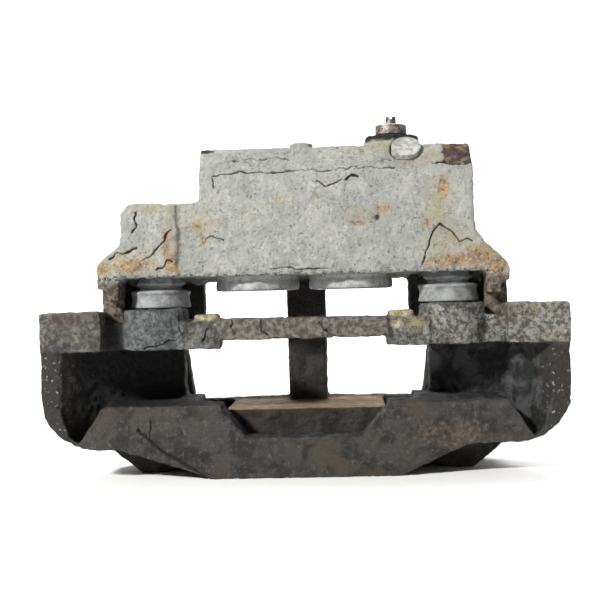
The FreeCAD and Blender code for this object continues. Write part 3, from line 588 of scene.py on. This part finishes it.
def add_housing(material):
    piece = remeshed("housing_casting", "caliper_housing", VOXEL)
    mesh = piece.data
    refine(mesh, near_cracks(coordinates(mesh), -normals(mesh)[:, 1], HOUSING_CRACKS))
    p, n = coordinates(mesh), normals(mesh)
    wear, cast_skin = housing_wear(p, n), clear_of_bores(p)
    push(mesh, housing_relief(p, wear) * cast_skin * (1 - wear["machined"]) * MM)
    uneven = layered(p, 12 * MM, 41, 4) * 9 * MM * ramp(p[:, 1], -0.02, 0.0)
    unpainted = 1 - ramp(p[:, 2] + uneven, PAINT_LOW, PAINT_LOW + 2.5 * MM)
    under_ears = (abs(p[:, 0]) > LEG_INNER) * (p[:, 1] < -0.020)
    leg = ramp(p[:, 2], LEG_LOW, LEG_LOW + 4 * MM) * under_ears * unpainted
    # The band at the block's lower edge that takes a painted shadow.
    ledge_shadow = within(p[:, 2], BLOCK_FLOOR - 2 * MM, BLOCK_FLOOR + 1.6 * MM, 1.8 * MM)
    store(mesh, "rust", spread(p, RUST_SPOTS, 33) + 0.5 * leg * layered(p, 8 * MM, 47))
    store(mesh, "stain", spread(p, STAINS, 35))
    store(mesh, "bare", wear["bare"])
    # Unpainted iron, near black partly as painted shade.
    store(mesh, "iron", np.maximum(unpainted * (1 - leg), 1 - cast_skin))
    store(mesh, "brown", leg)
    store(mesh, "machined", wear["machined"])
    store(mesh, "ledge_shadow", ledge_shadow * wear["near_face"])
    # Cracks and dark marks, with the painted shadow under the bleeder's ring.
    store(mesh, "black_marks", dark_marks_and_shadow(p, wear))
    attach(piece, material, "caliper", "caliper_housing")


# The bracket's own cracks and patches, in millimetres as above
BRACKET_CRACKS = (
    (((-42, 95), (-43, 90), (-40, 86)), 0.45), (((-24, 94), (-25, 88), (-21, 85)), 0.45),
    (((-57, 90), (-60, 83)), 0.40), (((-100, 30), (-92, 24), (-84, 16), (-70, 8), (-58, 1)), 0.80),
    (((-95, 79), (-86, 81), (-76, 84), (-71, 88)), 0.45), (((-74, 99), (-75, 92), (-72, 85)), 0.35),
    (((-92, 36), (-92, 24)), 0.30), (((10, 92), (14, 87)), 0.40),
)
CREAM_SPOTS = (((-59, -46, 97), (9, 8, 3.5)), ((58, -46, 97), (9, 8, 3.5)), ((56, -52, 90), (5, 6, 3)))
LICHEN_SPOTS = (((139, -54, 98), (9, 8, 7)), ((66, -52, 92), (8, 8, 6)), ((150, -54, 60), (8, 8, 30)))
BROWN_SPOTS = (
    ((120, -50, 95), (8, 12, 9)), ((90, -50, 24), (30, 10, 10)), ((0, -50, 88), (40, 12, 8)),
    ((-140, -50, 98), (14, 10, 5)), ((-112, -50, 14), (10, 10, 5)),
)


def bracket_relief(p, tie, cracks):
    """How far, in millimetres, each point stands proud: cast skin, rust scale, pits and cracks."""
    cast = layered(p, 3.8 * MM, 53, 2) * 0.66 + layered(p, 22 * MM, 55) * 0.7
    flakes = ramp(layered(p, 8 * MM, 57, 3), 0.0, 0.06) * (0.25 + 0.45 * tie)
    pits = ramp(noise(p, 3 * MM, 59), 0.5, 0.8) * 0.6
    return cast + flakes - pits - cracks * 1.1


def slot_grease_and_shade(p, n, upper):
    """The inside of the disc slot, seen past the near ends of its walls: greasy iron, made darker as painted
    shade.
    """
    behind_ends = 1 - ramp(-p[:, 1], ARM_NEAR, ARM_NEAR + 2 * MM)
    facing_in = 1 - ramp(p[:, 0] * n[:, 0] / 0.1, 0.1, 0.5)
    return (1 - upper) * behind_ends * facing_in


def add_bracket(material):
    piece = remeshed("bracket_casting", "anchor_bracket", VOXEL)
    mesh = piece.data
    refine(mesh, near_cracks(coordinates(mesh), -normals(mesh)[:, 1], BRACKET_CRACKS))
    p, n = coordinates(mesh), normals(mesh)
    near_face = ramp(-n[:, 1], 0.3, 0.6) * ramp(-p[:, 1], 0.04, 0.046)
    cracks = crack_depth(p, BRACKET_CRACKS) * near_face
    tie = within(p[:, 2], TIE_LOW, TIE_HIGH, 0.5 * MM) * (abs(p[:, 0]) < TIE_HALF)
    pins_clear = np.ones(len(p))
    for side, _ in SIDES:
        pins_clear *= ramp(off_axis(p, f"guide_pin_{side}"), 12.5 * MM, 14 * MM)
    push(mesh, bracket_relief(p, tie, cracks) * pins_clear * MM)
    upper = ramp(p[:, 2], PLATE_LOW, PLATE_LOW + 4 * MM)
    outer = ramp(p[:, 1], -0.03, -0.02) * ramp(n[:, 1], -0.2, 0.2)
    # Painted shadow in the recess between the left lug and its boss, under the housing's leg.
    recess_shadow = upper * within(-p[:, 0], RECESS_INNER, RECESS_OUTER, 1.5 * MM) * ramp(-p[:, 1], 0.030, 0.034)
    arm_wall = ramp(abs(p[:, 0]), ARM_WALL, ARM_WALL + 5 * MM) * (1 - ramp(p[:, 2], 0.074, 0.080))
    settled = 0.35 + 0.55 * ramp(p[:, 0], 0.03, 0.08) + 0.4 * layered(p, 14 * MM, 65)
    boss = within(abs(p[:, 0]), BOSS_INNER, BOSS_OUTER, 1.5 * MM) * ramp(-p[:, 0], 0, 0.01)
    store(mesh, "dust", upper * settled + 0.30 * outer)
    store(mesh, "boss", upper * boss)
    store(mesh, "lichen", spread(p, LICHEN_SPOTS, 69))
    store(mesh, "scale", tie)
    store(mesh, "cream", ramp(spread(p, CREAM_SPOTS, 67), 0.35, 0.6))
    store(mesh, "rust", spread(p, BROWN_SPOTS, 71))
    # Greasy slot inside darkened as painted shade, and the recess's painted shadow.
    store(mesh, "grease_and_shade", np.maximum(slot_grease_and_shade(p, n, upper), recess_shadow))
    # Painted shadow on the left of the slot and in the recess beside the left lug.
    store(mesh, "painted_shadow", np.maximum(ramp(-p[:, 0], 0, 0.05), recess_shadow))
    store(mesh, "ends", near_face * arm_wall)
    store(mesh, "black_marks", cracks)
    attach(piece, material, "bracket", "anchor_bracket")


# ---------------------------------------------------------------- rubber boots


def rounded(profile, rounds=2):
    """A closed outline with its corners cut again and again, so that it runs smoothly."""
    points = [Vector(corner) for corner in profile]
    for _ in range(rounds):
        finer = []
        for a, b in zip(points, points[1:] + points[:1]):
            finer += [a.lerp(b, 0.25), a.lerp(b, 0.75)]
        points = finer
    return points


def lathe(name, centre, base, profile, seed, turns=128):
    """A closed ring from an outline of (radius, height above base) in millimetres, a little uneven."""
    outline = rounded(profile)
    points = []
    for i in range(turns):
        angle = 2 * math.pi * i / turns
        for corner in outline:
            radius = corner[0] * MM
            points.append((radius * math.cos(angle), radius * math.sin(angle), corner[1] * MM))
    count = len(outline)
    faces = []
    for i, j in itertools.product(range(turns), range(count)):
        here, beyond = i * count, (i + 1) % turns * count
        faces.append((here + j, beyond + j, beyond + (j + 1) % count, here + (j + 1) % count))
    mesh = bpy.data.meshes.new(name)
    place = np.array(points) + np.array([centre.x, centre.y, base])
    mesh.from_pydata(place.tolist(), [], faces)
    mesh.update()
    piece = bpy.data.objects.new(name, mesh)
    COLLECTION.objects.link(piece)
    bpy.context.view_layer.objects.active = piece
    push(mesh, noise(place, 7 * MM, seed) * 0.16 * MM)
    mesh.polygons.foreach_set("use_smooth", [True] * len(mesh.polygons))
    return piece


# Outlines of (radius, height above the boot's foot), in millimetres
GUIDE_BOOT = (
    (13.2, 0.0), (18.4, 0.0), (18.9, 0.6), (18.5, 2.2), (17.9, 5.0), (17.9, 8.0), (18.7, 9.0),
    (18.7, 10.2), (17.6, 10.9), (13.4, 11.2), (12.2, 12.0), (12.2, 12.8), (15.2, 14.4), (15.4, 15.2),
    (14.6, 16.2), (12.6, 19.6), (12.6, 20.4), (15.2, 22.4), (15.2, 23.4), (12.9, 25.6), (12.9, 28.4),
    (9.6, 28.4), (9.6, 26.4), (11.4, 25.4), (13.6, 22.9), (11.3, 20.2), (11.3, 19.2), (13.6, 15.2),
    (10.9, 13.0), (10.9, 11.4), (13.2, 9.6),
)
PISTON_BOOT = (
    (22.7, 2.0), (24.3, 1.9), (24.3, 0.5), (25.2, 0.1), (26.1, 0.6), (26.5, 2.4), (26.3, 5.0), (25.5, 7.0),
    (26.2, 9.0), (26.3, 15.3), (24.4, 15.3), (24.4, 5.4), (22.7, 4.6),
)


def add_boot(name, node, profile, seed, material):
    """A boot turned from its outline at the CAD node's place, given its material, with the CAD node hidden.
    """
    axis = middle(node)
    boot = lathe(name, axis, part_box(node)[0].z, profile, seed)
    boot.data.materials.append(material)
    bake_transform(boot)
    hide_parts(node)


def add_boots(material, pale):
    for side, sign in SIDES:
        node, bodies = f"guide_pin_boot_{side}", ("bracket", "caliper")
        add_boot(f"guide_boot_{side}", node, GUIDE_BOOT, 71 + sign, material)
        node, bodies = f"piston_boot_{side}", ("caliper", f"piston_{side}")
        add_boot(f"dust_boot_{side}", node, PISTON_BOOT, 81 + sign, pale)


# ---------------------------------------------------------------- CAD pieces that keep their own shape


def dress(node, material):
    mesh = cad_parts[node].data
    mesh.materials.clear()
    mesh.materials.append(material)


def dress_hardware():
    steel = metal("guide_pin_steel", (0.30, 0.29, 0.27), (0.52, 0.51, 0.48), 0.3, 0.02, 0.15)
    piston = metal("piston_chrome", (0.45, 0.45, 0.45), (0.68, 0.68, 0.67), 0.15, 0.01, 0.05)
    bush = metal("bush_bronze", (0.42, 0.27, 0.11), (0.62, 0.44, 0.20), 0.3, 0.02)
    plug = metal("plug_painted", (0.20, 0.205, 0.19), (0.40, 0.40, 0.37), 0.6, 0.35, 0.12, 0.0)
    fitting = metal("fitting_stained", (0.07, 0.062, 0.052), (0.36, 0.33, 0.28), 0.4, 0.15, 0.45, 0.7)
    seal = seal_rubber()
    for side, _ in SIDES:
        dress(f"guide_pin_{side}", steel)
        dress(f"boot_retainer_{side}", steel)
        dress(f"piston_{side}", piston)
        dress(f"pin_bush_{side}", bush)
        dress(f"piston_seal_{side}", seal)
    dress("cross_drill_plug", plug)
    dress("bleeder_adapter", fitting)
    dress("bleeder_screw", fitting)


add_camera()
add_studio()
add_housing(flaking_paint())
add_bracket(weathered_iron())
add_boots(
    dusty_rubber("guide_boot_rubber", (0.13, 0.14, 0.143), (0.27, 0.28, 0.28)),
    dusty_rubber("dust_boot_rubber", (0.20, 0.21, 0.21), (0.36, 0.37, 0.36)),
)
dress_hardware()
